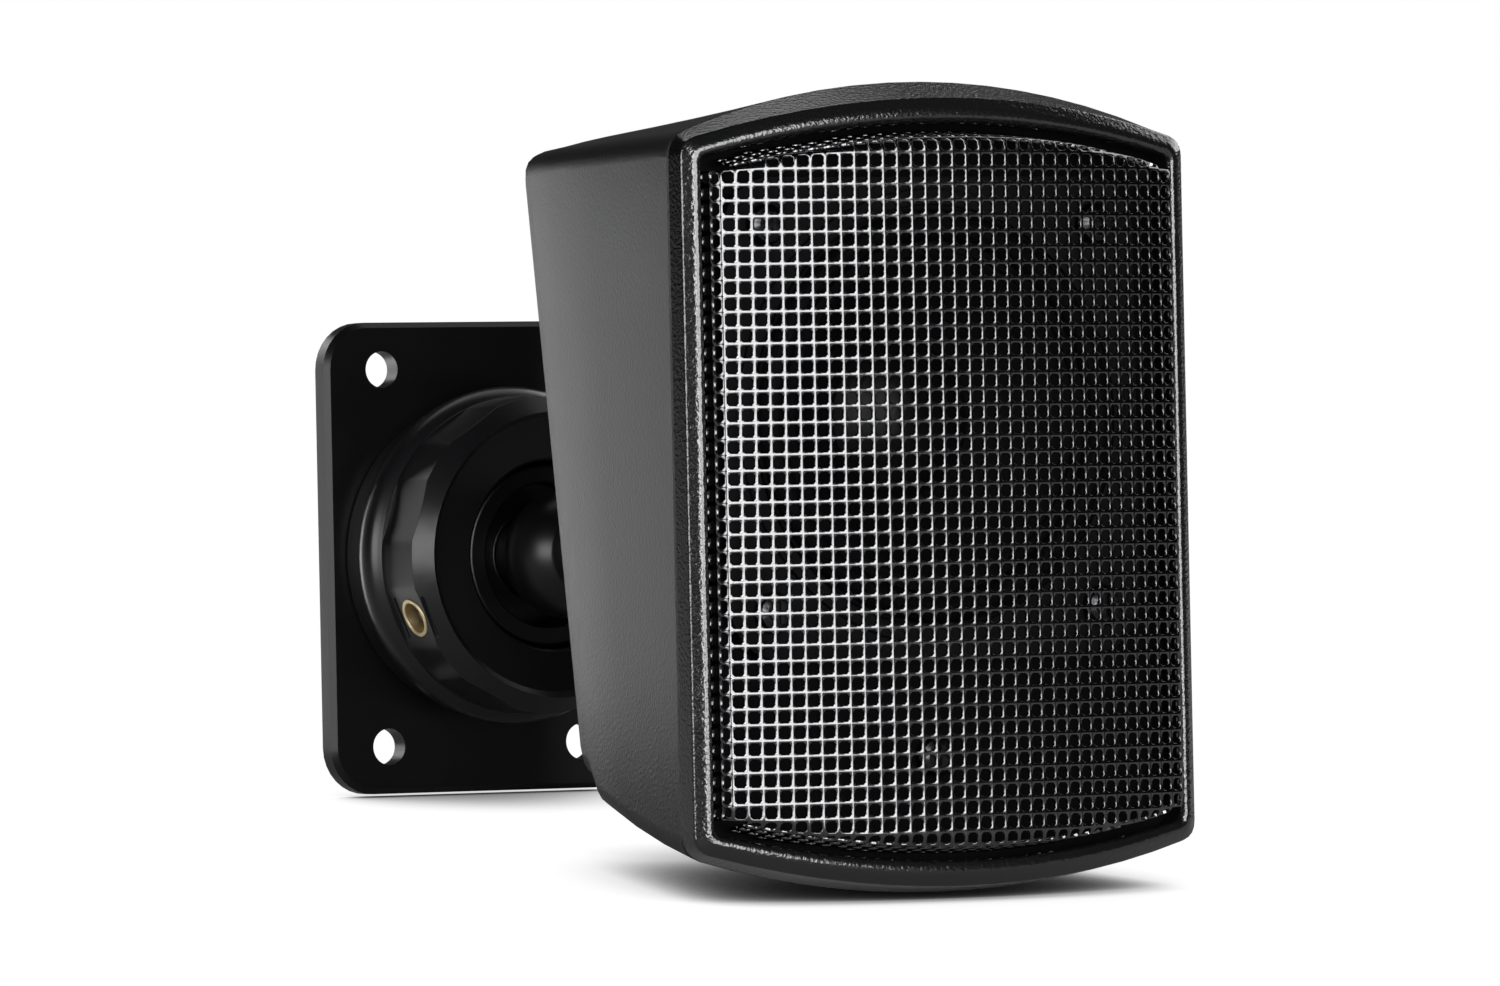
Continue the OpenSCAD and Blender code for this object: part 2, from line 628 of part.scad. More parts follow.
module spider() {
    color("#b58a3c") in_driver() translate([0, 0, spider_z]) rotate_extrude() polygon(concat(
        [for (i = [0:10]) [lerp(former_r + 0.05, floor_r + 2.2, i / 10), i % 2 * 1]],
        [for (i = [10:-1:0]) [lerp(former_r + 0.05, floor_r + 2.2, i / 10), i % 2 * 1 + 0.5]]));
}

coil_h = 7;
former_gap = 0.2;
former_end = 1.9;
module voice_coil() {
    coil_mid = (plate_z + magnet_z) / 2;
    color("#a5602c") in_driver() {
        pipe(former_r, pole_r + former_gap, magnet_z - 1, cone_back + former_end);
        pipe(coil_r, former_r - eps, coil_mid - coil_h / 2, coil_mid + coil_h / 2);
    }
}

module top_plate() {
    color("#7c7f83") in_driver() pipe(magnet_r - 2, gap_r, magnet_z, plate_z);
}
module magnet() {
    color("#3b3c3e") in_driver() pipe(magnet_r, gap_r + 2, yoke_z, magnet_z);
}
module yoke() {
    color("#7c7f83") in_driver() {
        translate([0, 0, yoke_z - 4]) cylinder(r = magnet_r - 2, h = 4);
        translate([0, 0, yoke_z - eps]) cylinder(r = pole_r, h = plate_z - yoke_z + eps);
    }
}

tag_x = 4;
tag_y = floor_r + 5.5;
tag_t = 0.6;
tag_out = 5;
module driver_tags() {
    color("#5b4a2e") in_driver() {
        translate([-7, floor_r + 0.8, plate_z]) cube([14, 6, 1.2]);
        for (x = [-1, 1]) translate([x * tag_x - 1, tag_y - tag_t / 2, plate_z - tag_out]) cube([2, tag_t, 8]);
    }
}

// recessed housing with two spring levers
lever_w = 7;
lever_x = 5.5;
lever_pin_y = -4.4;
lever_pin_z = -2.6;
module terminal_cup() {
    color("#19191b") in_speaker() on_rear(terminal_z) difference() {
        union() {
            soft_plate(cup_w, cup_h, 1.5, 3);
            translate([0, 0, -cup_d]) soft_plate(cup_w - cup_side, cup_h - 4, cup_d + eps, 2);
        }
        for (s = [-1, 1]) translate([s * lever_x, 0, 0]) {
            translate([-lever_w / 2 - 0.4, -6.8, -cup_d + 2]) cube([lever_w + 0.8, 9.6, cup_d + 2]);
            translate([0, 5, -cup_d + 2]) cylinder(r = 1.7, h = cup_d, $fn = 32);
            translate([-lever_w / 2 - 1.6, lever_pin_y, lever_pin_z]) rotate([0, 90, 0])
                cylinder(r = 1 + fit, h = lever_w + 3.2, $fn = 32);
            translate([-2.2, -1.4, -cup_d - 1]) cube([4.4, 0.9, 4]);
        }
        for (s = [-1, 1]) translate([s * cup_screw_x, 0, -1]) cylinder(r = 1.3 + fit, h = 4, $fn = 32);
    }
}

module terminal_lever(side) {
    in_speaker() on_rear(terminal_z) translate([side * lever_x, 0, 0]) difference() {
        union() {
            translate([-lever_w / 2, -5.6, lever_pin_z - 0.8]) cube([lever_w, 7.4, 3.6]);
            translate([-lever_w / 2 - 1.4, lever_pin_y, lever_pin_z]) rotate([0, 90, 0])
                cylinder(r = 1, h = lever_w + 2.8, $fn = 32);
            for (y = [-1.2, 0.2, 1.6]) translate([-lever_w / 2, y - 0.35, 0]) cube([lever_w, 0.7, 0.9]);
        }
        translate([-lever_w, -6.8, lever_pin_z + 1]) rotate([32, 0, 0]) cube([2 * lever_w, 3, 6]);
    }
}
module terminal_lever_plus() { color("#a11e1e") terminal_lever(-1); }
module terminal_lever_minus() { color("#161617") terminal_lever(1); }

contact_w = 4;
contact_t = 0.7;
module terminal_contacts() {
    color("#b9bcc0") in_speaker() on_rear(terminal_z) for (s = [-1, 1]) translate([s * lever_x, 0, 0]) {
        translate([-contact_w / 2, -1.3, -cup_d - tag_drop]) cube([contact_w, contact_t, tag_drop + 2.6]);
        translate([-contact_w / 2, -1.3, -cup_d + 2]) cube([contact_w, 3.6, contact_t]);
    }
}

module terminal_screws() {
    color("#3c3d40") in_speaker() on_rear(terminal_z) for (s = [-1, 1])
        translate([s * cup_screw_x, 0, 1.5]) pan_screw(1.3, 8, 2.3, 1.4);
}

// internal wires: from the end of a contact to a driver tag
tag_drop = 5;
contact_end = cup_d + tag_drop + 0.05;
lead_z = terminal_z + contact_end * sin(rear_rake) + 0.95 * cos(rear_rake);
lead_y = rear_y(terminal_z) - contact_end * cos(rear_rake) + 0.95 * sin(rear_rake);
tag_end = baffle_y - plate_z + tag_out + 0.05;
function lead_route(s) = [[s * lever_x, lead_y, lead_z],
    [s * lever_x, lead_y - 2.5 * cos(rear_rake), lead_z + 2.5 * sin(rear_rake)],
    [s * 6.5, lead_y - 7, lead_z + 1.2], [s * 7, lead_y - 13, lead_z + 0.9], [s * 5.5, tag_end + 6, lead_z],
    [s * tag_x, tag_end + 2.5, driver_z + tag_y], [s * tag_x, tag_end, driver_z + tag_y]];
lead_r = 0.8;
lead_sides = 8;
function cross_ring(p, d) = let (u = d / norm(d), a = cross(u, [1, 0, 0]), v = a / norm(a), w = cross(u, v))
    [for (i = [0:lead_sides - 1]) p + lead_r * (cos(i * 360 / lead_sides) * v + sin(i * 360 / lead_sides) * w)];
module lead(s) {
    route = lead_route(s);
    last = len(route) - 1;
    in_speaker() loft([for (i = [0:last])
        cross_ring(route[i], route[min(i + 1, last)] - route[max(i - 1, 0)])]);
}
module lead_plus() { color("#8d1f1f") lead(-1); }
module lead_minus() { color("#1a1a1a") lead(1); }

// damping pad lying on the cabinet's floor
pad_gap = 0.7;
pad_top = 28;
pad_front = ledge_y + tower_len + 2.5;
pad_short = 7;
pad_back = rear_y(-side_half) - rear_round - pad_short;
module wadding() {
    function pad_ring(y) = let (hw = cab_hw(y) - cab_wall - pad_gap)
        flat_ring(outline(hw, -pad_top, 0.5, hw, cab_bottom(y) - cab_wall - pad_gap,
            rise_for(hw, bottom_radius), corner_soft), y);
    color("#d8d6d0") in_speaker() loft([for (s = [1, 0.5, 0]) pad_ring(lerp(pad_front, pad_back, s))]);
}

wall_plate();
seat_cup();
friction_liner();
lock_collar();
collar_insert();
collar_set_screw();
ball_stem();
stem_screws();
cabinet();
bezel();
baffle();
baffle_gasket();
baffle_screw();
grille();
driver_gasket();
driver_basket();
driver_screws();
surround();
cone();
dust_cap();
spider();
voice_coil();
top_plate();
magnet();
yoke();
driver_tags();
terminal_cup();
terminal_lever_plus();
terminal_lever_minus();
terminal_contacts();
terminal_screws();
lead_plus();
lead_minus();
wadding();
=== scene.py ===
"""Satellite speaker on a ball-jointed wall mount: looks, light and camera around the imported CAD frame."""
import json
import math

import bmesh
import bpy
from mathutils import Matrix, Vector


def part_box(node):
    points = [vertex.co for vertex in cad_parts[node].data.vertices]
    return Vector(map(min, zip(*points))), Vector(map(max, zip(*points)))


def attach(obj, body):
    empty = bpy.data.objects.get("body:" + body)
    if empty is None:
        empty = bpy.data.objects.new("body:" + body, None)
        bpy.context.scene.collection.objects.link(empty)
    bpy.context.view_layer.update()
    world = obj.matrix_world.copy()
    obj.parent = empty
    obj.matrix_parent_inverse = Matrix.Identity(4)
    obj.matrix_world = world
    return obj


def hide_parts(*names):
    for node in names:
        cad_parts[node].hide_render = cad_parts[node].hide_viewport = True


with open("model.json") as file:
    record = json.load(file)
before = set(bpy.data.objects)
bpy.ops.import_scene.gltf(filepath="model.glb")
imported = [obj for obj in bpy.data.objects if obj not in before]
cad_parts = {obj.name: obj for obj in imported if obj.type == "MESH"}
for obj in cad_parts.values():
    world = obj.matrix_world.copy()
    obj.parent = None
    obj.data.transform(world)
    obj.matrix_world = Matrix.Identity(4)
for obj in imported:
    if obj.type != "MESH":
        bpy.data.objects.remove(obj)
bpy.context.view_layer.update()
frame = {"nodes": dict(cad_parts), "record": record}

MM = 0.001

# The photograph's frame and the camera fitted to it: its turn, and the grille's apex in its own axes
IMAGE_W = 1500
FOCAL_PX = 12229.0
SENSOR_MM = 36.0
YAW, PITCH, ROLL = math.radians(30.785), math.radians(-0.354), math.radians(-1.179)
APEX_IN_CAMERA = Vector((31.135, 1704.2, 0.277)) * MM
CLIP_M = (0.05, 20.0)

# Places that the CAD frame fixes: the grille's foremost point and the centre line of the face
grille_low, grille_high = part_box("grille")
APEX = Vector((0.0, grille_low.y, (grille_low.z + grille_high.z) / 2))


def rotation(angle, axis):
    """Turn round one axis, as a 3 by 3 matrix."""
    return Matrix.Rotation(angle, 3, axis)


def make_camera():
    """Camera whose axes are right, forward and up; the apex of the grille has a known place in them."""
    turn = rotation(ROLL, "Y") @ rotation(PITCH, "X") @ rotation(YAW, "Z")
    place = APEX - turn.transposed() @ APEX_IN_CAMERA
    right, forward, up = (Vector(row) for row in turn)
    data = bpy.data.cameras.new("camera")
    data.sensor_width = SENSOR_MM
    data.lens = FOCAL_PX / IMAGE_W * SENSOR_MM
    data.clip_start, data.clip_end = CLIP_M
    camera = bpy.data.objects.new("camera", data)
    bpy.context.scene.collection.objects.link(camera)
    axes = Matrix((right, up, -forward)).transposed().to_4x4()
    camera.matrix_world = Matrix.Translation(place) @ axes
    bpy.context.scene.camera = camera


make_camera()
bpy.context.scene.view_settings.view_transform = "Standard"


# Materials

COAT_ROUGHNESS = 0.12
GRAIN_DETAIL = 2.0
GRAIN_STRENGTH = 1.0


def shader(name, colour, roughness, metallic=0.0, coat=0.0, specular=0.5):
    """Principled material with constants on its own sockets."""
    material = bpy.data.materials.new(name)
    material.use_nodes = True
    surface = material.node_tree.nodes["Principled BSDF"]
    surface.inputs["Base Color"].default_value = (*colour, 1.0)
    surface.inputs["Roughness"].default_value = roughness
    surface.inputs["Metallic"].default_value = metallic
    surface.inputs["Coat Weight"].default_value = coat
    surface.inputs["Coat Roughness"].default_value = COAT_ROUGHNESS
    surface.inputs["Specular IOR Level"].default_value = specular
    return material


def add_grain(material, size_mm, depth_mm):
    """Fine bump on a material, from noise in object space."""
    tree = material.node_tree
    place = tree.nodes.new("ShaderNodeTexCoord")
    noise = tree.nodes.new("ShaderNodeTexNoise")
    noise.inputs["Scale"].default_value = 1000.0 / size_mm
    noise.inputs["Detail"].default_value = GRAIN_DETAIL
    bump = tree.nodes.new("ShaderNodeBump")
    bump.inputs["Strength"].default_value = GRAIN_STRENGTH
    bump.inputs["Distance"].default_value = depth_mm * MM
    tree.links.new(place.outputs["Object"], noise.inputs["Vector"])
    tree.links.new(noise.outputs["Fac"], bump.inputs["Height"])
    tree.links.new(bump.outputs["Normal"], tree.nodes["Principled BSDF"].inputs["Normal"])
    tree.links.new(bump.outputs["Normal"], tree.nodes["Principled BSDF"].inputs["Coat Normal"])
    return material


materials = {
    "cast_black": add_grain(shader("cast_black", (0.003, 0.003, 0.0035), 0.34, specular=0.4), 0.5, 0.006),
    "stem_black": shader("stem_black", (0.003, 0.003, 0.0035), 0.34),
    "collar_black": add_grain(shader("collar_black", (0.006, 0.006, 0.007), 0.30), 0.35, 0.006),
    "brass": add_grain(shader("brass", (0.93, 0.76, 0.46), 0.40, metallic=1.0), 0.3, 0.02),
    "screw_black": shader("screw_black", (0.06, 0.06, 0.063), 0.24, metallic=1.0),
    "nylon_black": shader("nylon_black", (0.02, 0.02, 0.021), 0.45),
    "cabinet_black": add_grain(
        shader("cabinet_black", (0.006, 0.006, 0.0065), 0.42, specular=0.4), 0.5, 0.07),
    "bezel_black": add_grain(shader("bezel_black", (0.005, 0.005, 0.0055), 0.21, coat=1.0), 0.55, 0.08),
    "baffle_black": shader("baffle_black", (0.002, 0.002, 0.002), 0.6, specular=0.06),
    "foam_black": add_grain(shader("foam_black", (0.010, 0.010, 0.010), 0.9), 0.4, 0.05),
    "grille_grey": shader("grille_grey", (0.13, 0.13, 0.134), 0.18, metallic=1.0),
    "basket_black": shader("basket_black", (0.003, 0.003, 0.003), 0.5, specular=0.1),
    "surround_black": shader("surround_black", (0.002, 0.002, 0.002), 0.6, specular=0.06),
    "cone_black": add_grain(shader("cone_black", (0.003, 0.003, 0.003), 0.65, specular=0.06), 0.6, 0.03),
    "cap_black": shader("cap_black", (0.003, 0.003, 0.0035), 0.30, specular=0.10),
    "spider_ochre": add_grain(shader("spider_ochre", (0.46, 0.29, 0.11), 0.85), 0.4, 0.03),
    "copper": shader("copper", (0.30, 0.12, 0.05), 0.45, metallic=0.9),
    "zinc_plate": add_grain(shader("zinc_plate", (0.50, 0.51, 0.53), 0.38, metallic=1.0), 1.5, 0.01),
    "ferrite": add_grain(shader("ferrite", (0.055, 0.055, 0.058), 0.62), 0.8, 0.02),
    "fibre_board": shader("fibre_board", (0.22, 0.15, 0.08), 0.7),
    "terminal_black": add_grain(shader("terminal_black", (0.015, 0.015, 0.016), 0.45), 0.5, 0.01),
    "lever_red": shader("lever_red", (0.42, 0.02, 0.02), 0.35),
    "lever_black": shader("lever_black", (0.012, 0.012, 0.013), 0.35),
    "contact_tin": shader("contact_tin", (0.62, 0.63, 0.65), 0.30, metallic=1.0),
    "lead_red": shader("lead_red", (0.40, 0.02, 0.02), 0.5),
    "lead_black": shader("lead_black", (0.012, 0.012, 0.012), 0.5),
    "wadding_white": add_grain(shader("wadding_white", (0.72, 0.71, 0.68), 0.95), 1.2, 0.3),
}

for part in frame["record"]["subparts"]:
    node = frame["nodes"][part["node"]]
    node.data.materials.clear()
    node.data.materials.append(materials[part["material_slot"]])


def smooth_by_angle(obj, degrees):
    """Rounds the shading of every edge that is flatter than the angle."""
    mesh = obj.data
    mesh.shade_smooth()
    mesh.set_sharp_from_angle(angle=math.radians(degrees))


def make_object(name, vertices, faces, slot, body, replaced, sharp_deg):
    """New piece from points in millimetres in the row frame."""
    mesh = bpy.data.meshes.new(name)
    mesh.from_pydata([tuple(float(c) * MM for c in p) for p in vertices], [], faces)
    mesh.validate()
    mesh.materials.append(materials[slot])
    obj = bpy.data.objects.new(name, mesh)
    bpy.context.scene.collection.objects.link(obj)
    smooth_by_angle(obj, sharp_deg)
    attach(obj, body)
    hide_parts(*replaced)


# The perforated grille: a punched sheet drawn over the bowed form, with its holes running round the bends
APEX_Y, FACE_Z = APEX.y / MM, APEX.z / MM
GRILLE_HW, GRILLE_CORNER, GRILLE_RISE, GRILLE_BOW = 37.6, 45.2, 4.5, 138.0
SHEET_T = 0.45
BEND_R = 1.5
SIDE_DRAFT, END_DRAFT = math.radians(4), math.radians(8)
HOLE_PITCH, HOLE_SIDE, HOLE_ROUND = 2.2, 1.66, 0.36
HOLE_SOFT = 0.08
LIP_ROUND_SHARE = 0.4
FLANK_LEN = 6.6
SIDE_END_REACH = 0.6


def arch_radius(half_width, rise):
    """Radius of an arch with a given half width and rise."""
    return (half_width ** 2 + rise ** 2) / (2 * rise)


END_R = arch_radius(GRILLE_HW, GRILLE_RISE)


def bow(x):
    """How far the bowed face falls back at a distance from its middle."""
    return GRILLE_BOW - math.sqrt(GRILLE_BOW ** 2 - x * x)


def bend_run(start, end, distance):
    """Run, drop and slope after a distance round a bend between two slopes in radians."""
    length = BEND_R * (end - start)
    turned = min(max(distance, 0.0), length) / BEND_R
    run = BEND_R * (math.sin(start + turned) - math.sin(start))
    drop = BEND_R * (math.cos(start) - math.cos(start + turned))
    past = max(distance - length, 0.0)
    return run + past * math.cos(end), drop + past * math.sin(end), start + turned


SIDE_SLOPE = math.asin(GRILLE_HW / GRILLE_BOW)
SIDE_END, END_END = math.pi / 2 - SIDE_DRAFT, math.pi / 2 - END_DRAFT
SIDE_RUN = BEND_R * (math.sin(SIDE_END) - math.sin(SIDE_SLOPE))
END_RUN = BEND_R * math.sin(END_END)
SIDE_X = GRILLE_HW - SIDE_RUN
SIDE_ARC = GRILLE_BOW * math.asin(SIDE_X / GRILLE_BOW)


def end_height(x):
    """Height at which the face starts to bend over at its top and bottom."""
    x = min(abs(x), GRILLE_HW)
    return GRILLE_CORNER + GRILLE_RISE - END_R + math.sqrt(END_R ** 2 - x * x) - END_RUN


def sheet_point(u, v, depth):
    """Point of the sheet for a place on the flat blank: u across, v up, depth into the sheet."""
    side = 1 if u >= 0 else -1
    along = abs(u)
    x = GRILLE_BOW * math.sin(min(along, SIDE_ARC) / GRILLE_BOW)
    y = bow(x)
    slope = math.asin(x / GRILLE_BOW)
    if along > SIDE_ARC:
        run, drop, slope = bend_run(SIDE_SLOPE, SIDE_END, along - SIDE_ARC)
        x, y = x + run, y + drop
    normal = [side * math.sin(slope), -math.cos(slope), 0.0]
    top = end_height(x)
    z = v
    if abs(v) > top:
        up = 1 if v > 0 else -1
        run, drop, tilt = bend_run(0.0, END_END, abs(v) - top)
        z = up * (top + run)
        y += drop
        lean = up * min(x, GRILLE_HW) * side / math.sqrt(END_R ** 2 - min(x, GRILLE_HW) ** 2)
        across = [lean * up, 0.0, up]
        size = math.hypot(*across)
        across = [c / size for c in across]
        normal = [math.cos(tilt) * n + math.sin(tilt) * a for n, a in zip(normal, across)]
    return (side * x - depth * normal[0], APEX_Y + y - depth * normal[1], FACE_Z + z - depth * normal[2])


def hole_corner_points(half, radius):
    """Eight points round a square hole with softened corners, starting at its right side's lower end."""
    inner = half - radius
    return [(half, -inner), (half, inner), (inner, half), (-inner, half),
            (-half, inner), (-half, -inner), (-inner, -half), (inner, -half)]


def build_grille():
    """Sheet made of one square cell round each hole, with shared points where cells meet."""
    vertices, faces, index = [], [], {}

    def vertex(u, v, depth):
        key = (round(u, 4), round(v, 4), round(depth, 4))
        if key not in index:
            index[key] = len(vertices)
            vertices.append(sheet_point(u, v, depth))
        return index[key]

    half = HOLE_PITCH / 2
    hole = hole_corner_points(HOLE_SIDE / 2, HOLE_ROUND)
    lip = hole_corner_points(HOLE_SIDE / 2 + HOLE_SOFT, HOLE_ROUND + HOLE_SOFT * LIP_ROUND_SHARE)
    cell = [(half, -half), (half, 0), (half, half), (0, half),
            (-half, half), (-half, 0), (-half, -half), (0, -half)]
    last_u = SIDE_ARC + FLANK_LEN
    columns = int(last_u / HOLE_PITCH)
    for i in range(-columns, columns):
        u = (i + 0.5) * HOLE_PITCH
        reach = end_height(GRILLE_BOW * math.sin(min(abs(u), SIDE_ARC) / GRILLE_BOW)) + FLANK_LEN
        if abs(u) + half > SIDE_ARC:
            reach = end_height(GRILLE_HW) + SIDE_END_REACH
        rows = int(reach / HOLE_PITCH + 0.5)
        for k in range(-rows, rows + 1):
            v = k * HOLE_PITCH
            front = [vertex(u + a, v + b, 0.0) for a, b in cell]
            rim = [vertex(u + a, v + b, 0.0) for a, b in lip]
            throat = [vertex(u + a, v + b, HOLE_SOFT) for a, b in hole]
            back = [vertex(u + a, v + b, SHEET_T) for a, b in hole]
            rear = [vertex(u + a, v + b, SHEET_T) for a, b in cell]
            # each side of the cell: two corners of the hole face the cell's side, one cell corner between
            for s in range(4):
                c0, mid, c1 = 2 * s, 2 * s + 1, (2 * s + 2) % 8
                h0, h1, h2 = 2 * s, 2 * s + 1, (2 * s + 2) % 8
                for ring, edge, flip in ((rim, front, False), (back, rear, True)):
                    quads = [(ring[h0], edge[c0], edge[mid]), (ring[h0], edge[mid], ring[h1]),
                             (ring[h1], edge[mid], edge[c1]), (ring[h1], edge[c1], ring[h2])]
                    faces.extend(tuple(reversed(q)) if flip else q for q in quads)
            for n in range(8):
                m = (n + 1) % 8
                faces.append((rim[n], rim[m], throat[m], throat[n]))
                faces.append((throat[n], throat[m], back[m], back[n]))
    make_object("grille_sheet", vertices, faces, "grille_grey", "speaker", ("grille",), sharp_deg=50)


build_grille()

WELD_M = 2e-6
FLAT_DEG = 0.5
PLAIN_NODE_DEG = 24


def dress(node_name, bevel_mm, sharp_deg=30):
    """Copy of a CAD node with joined faces, smooth shading and slightly rounded edges, in its place."""
    node = frame["nodes"][node_name]
    mesh = node.data.copy()
    if "custom_normal" in mesh.attributes:
        mesh.attributes.remove(mesh.attributes["custom_normal"])
    joined = bmesh.new()
    joined.from_mesh(mesh)
    bmesh.ops.remove_doubles(joined, verts=joined.verts, dist=WELD_M)
    bmesh.ops.dissolve_degenerate(joined, edges=joined.edges, dist=WELD_M)
    joined.to_mesh(mesh)
    joined.free()
    obj = bpy.data.objects.new(node_name + "_finished", mesh)
    bpy.context.scene.collection.objects.link(obj)
    if bevel_mm:
        flat = obj.modifiers.new("flat", "DECIMATE")
        flat.decimate_type = "DISSOLVE"
        flat.angle_limit = math.radians(FLAT_DEG)
        edge = obj.modifiers.new("edge", "BEVEL")
        edge.width = bevel_mm * MM
        edge.segments = 2
        edge.limit_method = "ANGLE"
        edge.angle_limit = math.radians(sharp_deg)
        edge.use_clamp_overlap = True
        edge.harden_normals = False
    smooth_by_angle(obj, sharp_deg)
    even = obj.modifiers.new("even", "WEIGHTED_NORMAL")
    even.keep_sharp = True
    body = next(b for b, members in frame["record"]["behaviour"]["bodies"].items() if node_name in members)
    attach(obj, body)
    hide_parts(node_name)


EDGE_MM = {"wall_plate": 0.0, "lock_collar": 0.15, "ball_stem": 0.25, "cabinet": 0.0, "bezel": 0.0,
           "terminal_cup": 0.15, "terminal_lever_plus": 0.12, "terminal_lever_minus": 0.12,
           "stem_screws": 0.1, "collar_insert": 0.1, "driver_basket": 0.1}
for name, edge in EDGE_MM.items():
    dress(name, edge)
for name, node in frame["nodes"].items():
    if not node.hide_render:
        smooth_by_angle(node, PLAIN_NODE_DEG)


# Floor, backdrop and light

FLOOR_GAP = 0.0003
SHADOW_REACH = 0.032
SHADOW_RAMP = (0.0, 0.74)
SHADOW_SAMPLES = 32
FLOOR_WHITE = 1.02
FLOOR_MATT = (0.4, 0.4, 0.4, 1.0)
FLOOR_HALF = 1.5
BACKDROP_AZIMUTH = 150.0
BACKDROP_EDGES = (math.cos(math.radians(50)), math.cos(math.radians(20)))
BACKDROP_TOP = (0.0, 0.05)
BACKDROP_UPPER = 0.05


def math_node(tree, operation, first, second):
    """Math node fed by two sockets."""
    node = tree.nodes.new("ShaderNodeMath")
    node.operation = operation
    tree.links.new(first, node.inputs[0])
    tree.links.new(second, node.inputs[1])
    return node.outputs[0]


def ramp_node(tree, source, start, end, low, high):
    """Soft step of a value between two limits."""
    node = tree.nodes.new("ShaderNodeMapRange")
    node.interpolation_type = "SMOOTHSTEP"
    node.inputs["From Min"].default_value = start
    node.inputs["From Max"].default_value = end
    node.inputs["To Min"].default_value = low
    node.inputs["To Max"].default_value = high
    tree.links.new(source, node.inputs["Value"])
    return node.outputs["Result"]


def floor_material():
    """White floor, darkened by occlusion close to what stands on it; bounced light sees it as matt grey."""
    material = bpy.data.materials.new("floor_white")
    material.use_nodes = True
    tree = material.node_tree
    tree.nodes.clear()
    near = tree.nodes.new("ShaderNodeAmbientOcclusion")
    near.samples = SHADOW_SAMPLES
    near.inputs["Distance"].default_value = SHADOW_REACH
    glow = tree.nodes.new("ShaderNodeEmission")
    glow.inputs["Color"].default_value = (1.0, 1.0, 1.0, 1.0)
    shade = ramp_node(tree, near.outputs["AO"], *SHADOW_RAMP, 0.0, FLOOR_WHITE)
    tree.links.new(shade, glow.inputs["Strength"])
    matt = tree.nodes.new("ShaderNodeBsdfDiffuse")
    matt.inputs["Color"].default_value = FLOOR_MATT
    path = tree.nodes.new("ShaderNodeLightPath")
    seen = math_node(tree, "MAXIMUM", path.outputs["Is Camera Ray"], path.outputs["Is Transmission Ray"])
    mix = tree.nodes.new("ShaderNodeMixShader")
    output = tree.nodes.new("ShaderNodeOutputMaterial")
    tree.links.new(seen, mix.inputs[0])
    tree.links.new(matt.outputs[0], mix.inputs[1])
    tree.links.new(glow.outputs[0], mix.inputs[2])
    tree.links.new(mix.outputs[0], output.inputs[0])
    return material


def make_floor():
    """Floor just under the front's and the plate's lower edges, the two places the part rests on."""
    front_low, front_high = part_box("bezel")
    plate_low, plate_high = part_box("wall_plate")
    half = FLOOR_HALF
    slope = (plate_low.z - front_low.z) / (plate_high.y - front_high.y)
    mesh = bpy.data.meshes.new("floor")
    corners = [(-half, -half, 0), (half, -half, 0), (half, half, 0), (-half, half, 0)]
    mesh.from_pydata(corners, [], [(0, 1, 2, 3)])
    mesh.materials.append(floor_material())
    floor = bpy.data.objects.new("floor", mesh)
    floor.location = (0.0, front_high.y, front_low.z - FLOOR_GAP)
    floor.rotation_euler = (math.atan(slope), 0.0, 0.0)
    bpy.context.scene.collection.objects.link(floor)


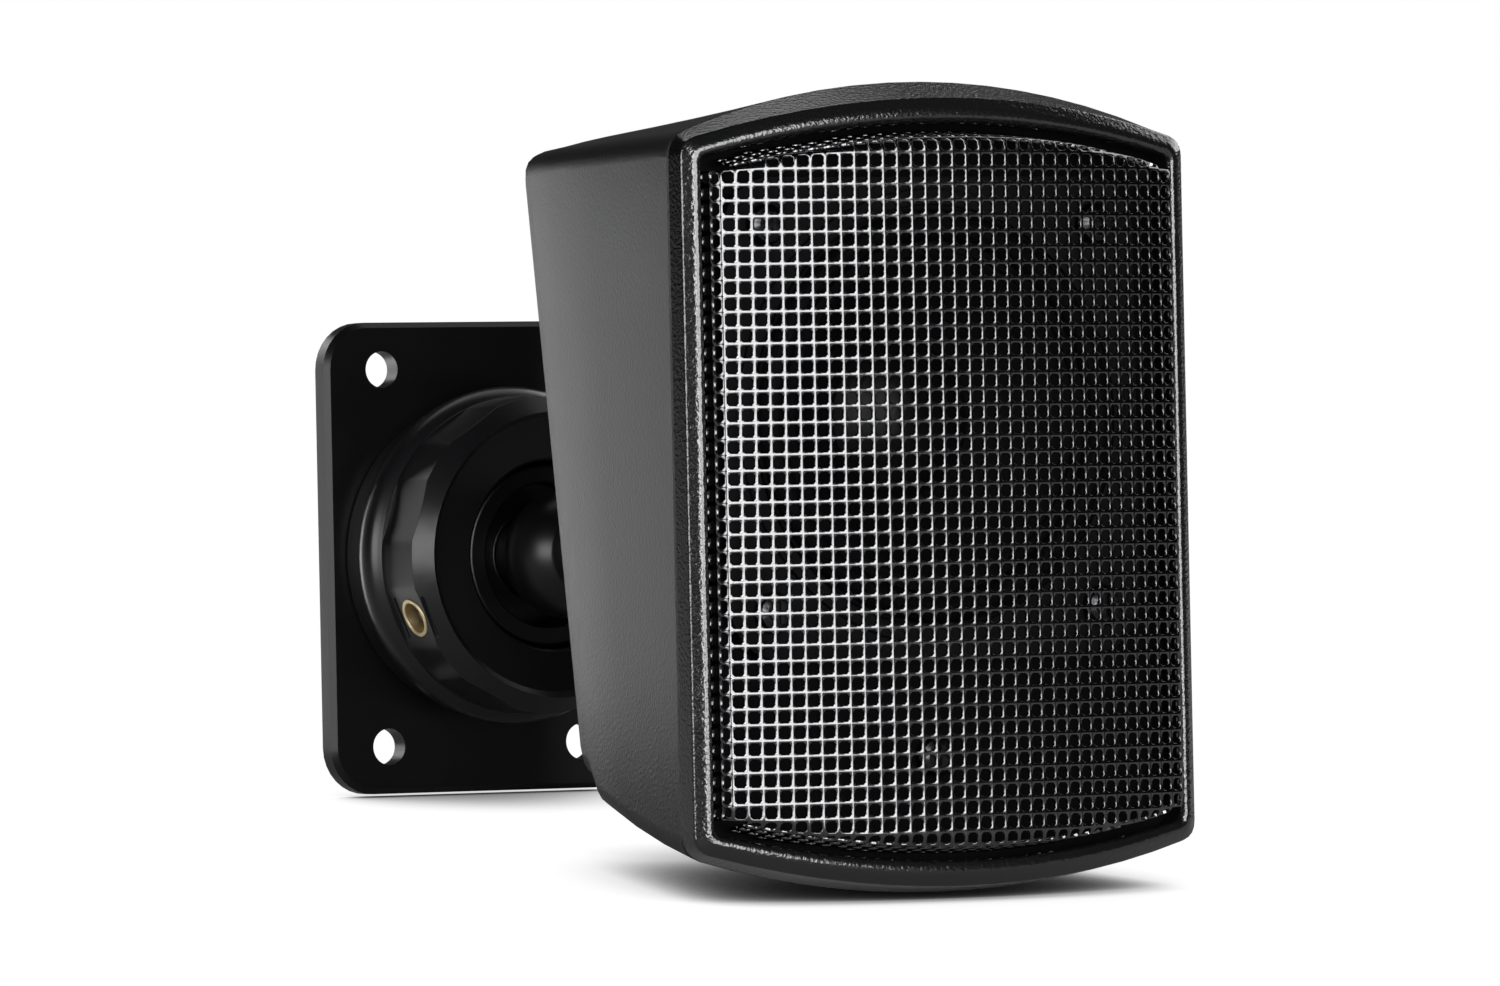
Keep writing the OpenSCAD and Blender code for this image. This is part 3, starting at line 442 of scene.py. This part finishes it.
def make_world(light_level, room_level):
    """Surroundings that are pure white to the camera, with a white backdrop in the part's reflections."""
    world = bpy.data.worlds.new("studio")
    bpy.context.scene.world = world
    world.use_nodes = True
    tree = world.node_tree
    light = tree.nodes["Background"]
    light.inputs["Color"].default_value = (1.0, 1.0, 1.0, 1.0)
    light.inputs["Strength"].default_value = light_level
    white = tree.nodes.new("ShaderNodeBackground")
    white.inputs["Color"].default_value = (1.0, 1.0, 1.0, 1.0)
    white.inputs["Strength"].default_value = 1.0
    mirrored = tree.nodes.new("ShaderNodeBackground")
    mirrored.inputs["Color"].default_value = (1.0, 1.0, 1.0, 1.0)
    place = tree.nodes.new("ShaderNodeTexCoord")
    towards = tree.nodes.new("ShaderNodeVectorMath")
    towards.operation = "DOT_PRODUCT"
    azimuth = math.radians(BACKDROP_AZIMUTH)
    towards.inputs[1].default_value = (math.sin(azimuth), -math.cos(azimuth), 0.0)
    tree.links.new(place.outputs["Generated"], towards.inputs[0])
    height = tree.nodes.new("ShaderNodeSeparateXYZ")
    tree.links.new(place.outputs["Generated"], height.inputs[0])
    across = ramp_node(tree, towards.outputs["Value"], *BACKDROP_EDGES, room_level, 1.0)
    upwards = ramp_node(tree, height.outputs["Z"], *BACKDROP_TOP, 1.0, BACKDROP_UPPER)
    level = math_node(tree, "MULTIPLY", across, upwards)
    tree.links.new(level, mirrored.inputs["Strength"])
    path = tree.nodes.new("ShaderNodeLightPath")
    clear = math_node(tree, "MAXIMUM", path.outputs["Is Camera Ray"], path.outputs["Is Transmission Ray"])
    gloss = tree.nodes.new("ShaderNodeMixShader")
    mix = tree.nodes.new("ShaderNodeMixShader")
    tree.links.new(path.outputs["Is Glossy Ray"], gloss.inputs[0])
    tree.links.new(light.outputs[0], gloss.inputs[1])
    tree.links.new(mirrored.outputs[0], gloss.inputs[2])
    tree.links.new(clear, mix.inputs[0])
    tree.links.new(gloss.outputs[0], mix.inputs[1])
    tree.links.new(white.outputs[0], mix.inputs[2])
    tree.links.new(mix.outputs[0], tree.nodes["World Output"].inputs[0])


MIDDLE = Vector((0.0, -0.09, 0.0))


def softbox(name, azimuth_deg, elevation_deg, distance, size, power, target=MIDDLE):
    """Area light round the object; azimuth 0 is in front of the speaker and grows towards +X."""
    azimuth, elevation = math.radians(azimuth_deg), math.radians(elevation_deg)
    way = Vector((math.sin(azimuth) * math.cos(elevation), -math.cos(azimuth) * math.cos(elevation),
                  math.sin(elevation)))
    data = bpy.data.lights.new(name, "AREA")
    data.shape = "RECTANGLE"
    data.size, data.size_y = size
    data.energy = power
    light = bpy.data.objects.new(name, data)
    bpy.context.scene.collection.objects.link(light)
    light.location = target + way * distance
    light.rotation_mode = "QUATERNION"
    light.rotation_quaternion = (-way).to_track_quat("-Z", "Y")
    light.visible_camera = False


make_floor()
make_world(light_level=0.15, room_level=0.02)
softbox("front_box", 3, 6, 1.2, (0.58, 0.9), 11.5)
softbox("front_left_strip", -22, 6, 1.2, (0.28, 0.8), 7.5)
softbox("left_box", -73, 4, 1.0, (0.55, 0.5), 5)
softbox("rear_strip", 180, 0, 0.11, (0.02, 0.12), 0.03, Vector((-0.035, -0.06, 0.0075)))
softbox("top_box", 150, 60, 1.1, (1.0, 0.6), 1.5)
softbox("right_box", 105, 30, 1.2, (1.0, 0.8), 6)
